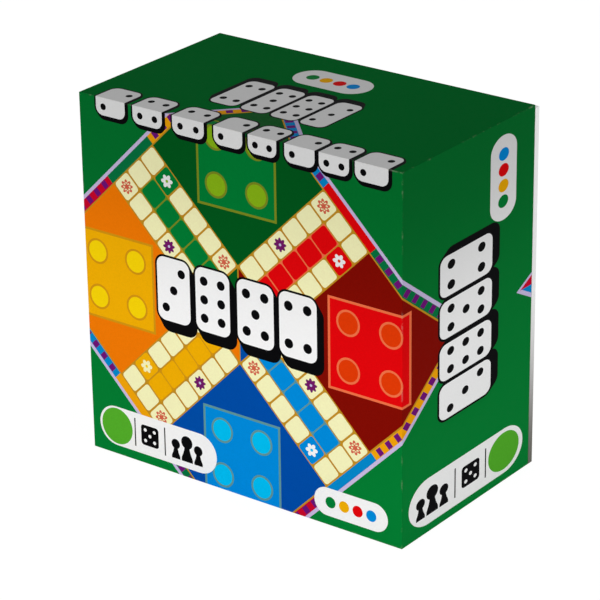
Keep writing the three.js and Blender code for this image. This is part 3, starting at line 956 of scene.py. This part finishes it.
foot, radius, tall = standing("dice_cup")
cup = lathe("ribbed_cup", cup_profile(radius, tall), foot, 96, cup_plastic)
stand_for(cup, "dice_cup", "cup")


# Dice: rounded cubes with ball cut pips, opposite faces adding up to seven

DIE_ROUND = 2.0
BALL, BALL_LIFT, PIP_AT = 1.6, 1.0, 3.6
DIE_FACES = {1: (0, 0), 6: (180, 0), 2: (90, 0), 5: (-90, 0), 3: (0, -90), 4: (0, 90)}


def ball(centre, radius, steps=20, rings=10):
    points = [(centre[0], centre[1], centre[2] - radius)]
    polygons = []
    for i in range(1, rings):
        a = math.pi * i / rings
        z = centre[2] - radius * math.cos(a)
        points += [(x, y, z) for x, y in disc(centre, radius * math.sin(a), steps)]
    points.append((centre[0], centre[1], centre[2] + radius))
    last = len(points) - 1
    for j in range(steps):
        k = (j + 1) % steps
        polygons.append([0, 1 + k, 1 + j])
        polygons.append([last, last - steps + j, last - steps + k])
        for i in range(rings - 2):
            a = 1 + i * steps
            polygons.append([a + j, a + k, a + steps + k, a + steps + j])
    return points, polygons


def rounded_cube(side, radius, steps=5):
    """Points of a cube whose edges and corners are round, as a grid on each face."""
    inner = side / 2 - radius
    marks = [-inner - radius * math.cos(math.pi / 2 * i / steps) for i in range(steps)]
    marks += [-inner, 0.0, inner] + [-m for m in reversed(marks)]
    points, polygons, known = [], [], {}

    def corner(p):
        core = [max(-inner, min(inner, c)) for c in p]
        way = Vector(p) - Vector(core)
        if way.length > 1e-9:
            way = way.normalized() * radius
        q = Vector(core) + way
        key = tuple(round(c, 5) for c in q)
        if key not in known:
            known[key] = len(points)
            points.append(tuple(q))
        return known[key]

    for axis in range(3):
        for way in (-1, 1):
            for i in range(len(marks) - 1):
                for j in range(len(marks) - 1):
                    quad = []
                    for a, b in ((i, j), (i + 1, j), (i + 1, j + 1), (i, j + 1)):
                        p = [0.0, 0.0, 0.0]
                        p[axis] = way * side / 2
                        p[(axis + 1) % 3] = marks[a]
                        p[(axis + 2) % 3] = marks[b]
                        quad.append(corner(p))
                    quad = list(dict.fromkeys(quad))
                    if len(quad) > 2:
                        polygons.append(quad if way > 0 else list(reversed(quad)))
    return points, polygons


def make_die(node, body, turn):
    lowest, highest = low(node), high(node)
    middle = (lowest + highest) / 2
    side = highest.x - lowest.x
    points, polygons = rounded_cube(side, DIE_ROUND)
    solid = closed_mesh(f"pipped_{node}", points, polygons, [die_plastic, pip_paint])
    cuts, cut_polygons = [], []
    for pips, (x, z) in DIE_FACES.items():
        face = Matrix.Rotation(math.radians(z), 3, "Z") @ Matrix.Rotation(math.radians(x), 3, "X")
        for across, along in PIPS[pips]:
            centre = face @ Vector((across * PIP_AT, side / 2 + BALL_LIFT, along * PIP_AT))
            more, faces = ball(centre, BALL)
            cut_polygons += [[i + len(cuts) for i in f] for f in faces]
            cuts += more
    cutter = closed_mesh("pip_cutter", cuts, cut_polygons, [pip_paint])
    change = solid.modifiers.new("pips", "BOOLEAN")
    change.operation = "DIFFERENCE"
    change.solver = "EXACT"
    change.material_mode = "TRANSFER"
    change.object = cutter
    bpy.context.view_layer.update()
    cut = bpy.data.meshes.new_from_object(solid.evaluated_get(bpy.context.evaluated_depsgraph_get()))
    solid.modifiers.clear()
    solid.data = cut
    bpy.data.objects.remove(cutter)
    weld(cut, 0.01)
    cut.transform(Matrix.Translation(middle * MM) @ Matrix.Rotation(math.radians(turn), 4, "X"))
    cut.set_sharp_from_angle(angle=SHARP)
    stand_for(solid, node, body)


make_die("die_1", "die_a", 0)
make_die("die_2", "die_b", 90)


# The folding board. Its print is one drawing; each panel carries a quarter of it, folded as the panels are

panel_left, panel_right = low("board_print_lower_left").x, high("board_print_lower_left").x
panel_bottom, panel_top = low("board_print_lower_left").z, high("board_print_lower_left").z
panel_wide, panel_tall = panel_right - panel_left, panel_top - panel_bottom
board_art = Print()
Board(board_art, (0, 0), min(panel_wide, panel_tall) / LACE)


def quarter(name, window, across, up, faces_front):
    """The print of one panel. Across and up are -1 where the folding turned that way of the drawing round."""
    node = f"board_print_{name}"
    face = low(node).y if faces_front else high(node).y
    side = -1 if faces_front else 1

    def place(u, v, lift):
        return (panel_right + across * u, face + side * lift, panel_top + up * v)

    ink_sheet(f"board_art_{name}", board_art, window, place, f"board_{name}", worn_and_shaded=False)


quarter("lower_left", (-panel_wide, 0, -panel_tall, 0), 1, 1, True)
quarter("upper_left", (-panel_wide, 0, 0, panel_tall), 1, -1, False)
quarter("upper_right", (0, panel_wide, 0, panel_tall), -1, -1, True)
quarter("lower_right", (0, panel_wide, -panel_tall, 0), -1, 1, False)


# The strips over the board's folds, in mm

FLAP = 9.0                  # how far a strip lies on a panel
FOLD_REACH = 0.8            # how far its bend stands out from the panels' edge
BEND = 0.25                 # the part of its width that bends
SETBACK = 1.5               # how far its ends stay away from the panels' corners
STRIP_LIFT, STRIP_SINK = 0.24, 0.02
PRINTED_LIFT = 0.06


def fold_point(share, half):
    """A strip over two folded panels: share runs from -1 (end of the first flap) over 0 (fold line) to 1.
    Gives how far out from the panels' edge, how far across from the fold line, and the way outward."""
    if abs(share) >= BEND:
        out = -FLAP * (abs(share) - BEND) / (1 - BEND)
        side = -1.0 if share > 0 else 1.0
        return out, side * half, (0.0, side)
    a = math.pi * (share + BEND) / (2 * BEND)
    normal = Vector((math.sin(a) / FOLD_REACH, math.cos(a) / half)).normalized()
    return FOLD_REACH * math.sin(a), half * math.cos(a), (normal.x, normal.y)


def strip_shares():
    steps = 40
    bend = [BEND * (2 * i / steps - 1) for i in range(steps + 1)]
    return [-1, -0.75, -0.5, -0.3] + bend + [0.3, 0.5, 0.75, 1]


def fold_between(first_face, second_face):
    """The fold line's depth, and half the depth between the two faces that the strip lies on."""
    return (first_face + second_face) / 2, (first_face - second_face) / 2


def bend_with(strip, node):
    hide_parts(node)
    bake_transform(strip)


def cloth_strip(name, node, first, second):
    """Over the top edges of two panels, on their black backs. It bends where they fold."""
    fold, half = fold_between(high(f"board_panel_{first}").y, low(f"board_panel_{second}").y)
    left, right = panel_left + SETBACK, panel_right - SETBACK
    columns = [left + (right - left) * i / 24 for i in range(25)]
    shares = strip_shares()
    wide, rows = len(columns), len(shares)
    points, polygons = [], []
    for lift in (STRIP_LIFT, STRIP_SINK):
        for share in shares:
            out, across, (n_out, n_across) = fold_point(share, half)
            for x in columns:
                points.append((x, fold + across + n_across * lift, panel_top + out + n_out * lift))
    shift = wide * rows
    for base in (0, shift):
        for i in range(rows - 1):
            for j in range(wide - 1):
                a = base + i * wide + j
                quad = [a, a + 1, a + wide + 1, a + wide]
                polygons.append(quad if base else list(reversed(quad)))
    border = list(range(wide))
    border += [i * wide + wide - 1 for i in range(1, rows)]
    border += [(rows - 1) * wide + j for j in range(wide - 2, -1, -1)]
    border += [i * wide for i in range(rows - 2, 0, -1)]
    for a, b in zip(border, border[1:] + border[:1]):
        polygons.append([a, b, b + shift, a + shift])
    strip = closed_mesh(name, points, polygons, [cloth])
    strip.data.set_sharp_from_angle(angle=math.radians(50))
    bend_with(strip, node)


cloth_strip("cloth_hinge_left", "board_hinge_left", "lower_left", "upper_left")
cloth_strip("cloth_hinge_right", "board_hinge_right", "upper_right", "lower_right")


def printed_strip():
    """Over the side edges of the two upper panels, on their printed faces, where the sheet runs on."""
    fold, half = fold_between(high("board_print_upper_left").y, low("board_print_upper_right").y)

    def place(u, v, lift):
        out, across, (n_out, n_across) = fold_point(max(-1.0, min(1.0, u / FLAP)), half)
        lift = lift + PRINTED_LIFT
        return (panel_right + out + n_out * lift, fold + across + n_across * lift, panel_top - v)

    bottom, top = SETBACK, panel_tall - SETBACK
    cuts = [((share * FLAP, bottom - 1), (share * FLAP, top + 1)) for share in strip_shares()[1:-1]]
    window = (-FLAP, FLAP, bottom, top)
    strip = ink_sheet("board_art_fold", board_art, window, place, None, worn_and_shaded=False, cuts=cuts)
    bend_with(strip, "board_hinge_middle")


printed_strip()


# Leaflet: a small board and the six faces of a die, each with its lines, as a plain printed diagram

leaflet_art = Print()
Board(leaflet_art, (0, 92), 3.3)
DIE_HALF, DIE_FRAME = 4.6, 0.4
LINE_LENGTHS = (34, 31, 33, 20)
LINE_TALL, LINE_PITCH = 0.8, 2.4
for i in range(6):
    x, y = -48 + 54 * (i % 2), 46 - 15 * (i // 2)
    inner = DIE_HALF - DIE_FRAME
    leaflet_art.add("black", rounded(x - DIE_HALF, x + DIE_HALF, y - DIE_HALF, y + DIE_HALF, 1.2))
    leaflet_art.add("white", rounded(x - inner, x + inner, y - inner, y + inner, 1.0))
    for a, b in PIPS[i + 1]:
        leaflet_art.add("black", disc((x + a * 2.3, y + b * 2.3), 0.8, 20))
    for number, length in enumerate(LINE_LENGTHS):
        bottom = y + 3.0 - LINE_PITCH * number
        leaflet_art.add("grey", rectangle(x + 8, x + 8 + length, bottom, bottom + LINE_TALL))
sheet_low, sheet_high = low("rules_leaflet"), high("rules_leaflet")
ink_sheet(
    "leaflet_print", leaflet_art, (sheet_low.x, sheet_high.x, 0, sheet_high.z - sheet_low.z),
    lambda u, v, lift: (u, sheet_low.y - lift, sheet_low.z + v), "leaflet", worn_and_shaded=False,
)


# Camera at the photograph's place. Its distance and its offsets are in sides of the box

AZIMUTH, ELEVATION, ROLL = math.radians(37.084), math.radians(23.505), math.radians(-0.767)
LENS = 174.65
DISTANCE, OFF_RIGHT, OFF_UP = 7.512, 0.019, 0.0485
SIDE = 2 * HALF * MM
level_part = math.cos(ELEVATION)
back = Vector((math.sin(AZIMUTH) * level_part, -math.cos(AZIMUTH) * level_part, math.sin(ELEVATION)))
level = (-back).cross(Vector((0, 0, 1))).normalized()
upward = level.cross(-back)
right = math.cos(ROLL) * level + math.sin(ROLL) * upward
up = -math.sin(ROLL) * level + math.cos(ROLL) * upward
aim = Vector((0, (FRONT + RIM) / 2 * MM, TALL / 2 * MM))
camera_data = bpy.data.cameras.new("camera")
camera_data.lens = LENS
camera_data.sensor_width = 36
camera_data.clip_start = 0.05
camera_data.clip_end = 30
camera = new_piece("camera", camera_data)
turned = Matrix((right, up, back)).transposed().to_4x4()
eye = aim + back * DISTANCE * SIDE - right * OFF_RIGHT * SIDE - up * OFF_UP * SIDE
camera.matrix_world = Matrix.Translation(eye) @ turned
bpy.context.scene.camera = camera


# Floor, world and lamps

FLOOR_TONE, FLOOR_GLOW, FLOOR_SHARE = 0.86, 1.1, 0.86
WORLD_LIGHT, WORLD_SEEN = 0.5, 1.0


def show_by_ray(t, output, unseen, seen, share=1.0):
    """Joins two shaders to the output. The second is for a ray that shows the background as it is: from the
    camera, in a reflection, or through glass."""
    path = t.node("LightPath").outputs
    rays = path["Is Camera Ray"]
    for name in ("Is Glossy Ray", "Is Transmission Ray"):
        rays = t.math("ADD", rays, path[name], clamp=True)
    mix = t.node("MixShader", Fac=t.math("MULTIPLY", rays, share))
    t.join(unseen.outputs[0], mix.inputs[1])
    t.join(seen.outputs[0], mix.inputs[2])
    t.node(output, Surface=mix.outputs[0])


def grey(tone):
    return (tone, tone, tone, 1)


def floor():
    """A pale floor that takes the object's shadow and is nearly white in itself where it is seen."""
    size, height = 8.0, -0.00008
    mesh = bpy.data.meshes.new("floor")
    mesh.from_pydata([(x, y, height) for x, y in around(size)], [], [(0, 1, 2, 3)])
    new_piece("floor", mesh)
    material = bpy.data.materials.new("floor")
    t = Nodes(material)
    plain = t.node("BsdfDiffuse", Color=grey(FLOOR_TONE))
    glow = t.node("Emission", Color=grey(1), Strength=FLOOR_GLOW)
    show_by_ray(t, "OutputMaterial", plain, glow, FLOOR_SHARE)
    mesh.materials.append(material)


def surroundings():
    """Soft white light from all sides, and a white background where it is seen."""
    world = bpy.data.worlds.new("studio")
    bpy.context.scene.world = world
    t = Nodes(world)
    light = t.node("Background", Color=grey(1), Strength=WORLD_LIGHT)
    plain = t.node("Background", Color=grey(1), Strength=WORLD_SEEN)
    show_by_ray(t, "OutputWorld", light, plain)


def lamp(name, place, target, wide, tall, watts):
    data = bpy.data.lights.new(name, "AREA")
    data.shape = "RECTANGLE"
    data.size = wide
    data.size_y = tall
    data.energy = watts
    piece = new_piece(name, data)
    piece.location = place
    piece.rotation_euler = (Vector(target) - Vector(place)).to_track_quat("-Z", "Y").to_euler()


floor()
surroundings()
lamp("front_lamp", (0.1, -1.1, 0.25), (0, -0.04, 0.05), 1.2, 0.5, 4.8)
lamp("right_lamp", (1.2, -0.3, 0.3), (0.07, 0, 0.05), 0.9, 0.5, 2.8)

bpy.context.scene.view_settings.view_transform = "Standard"
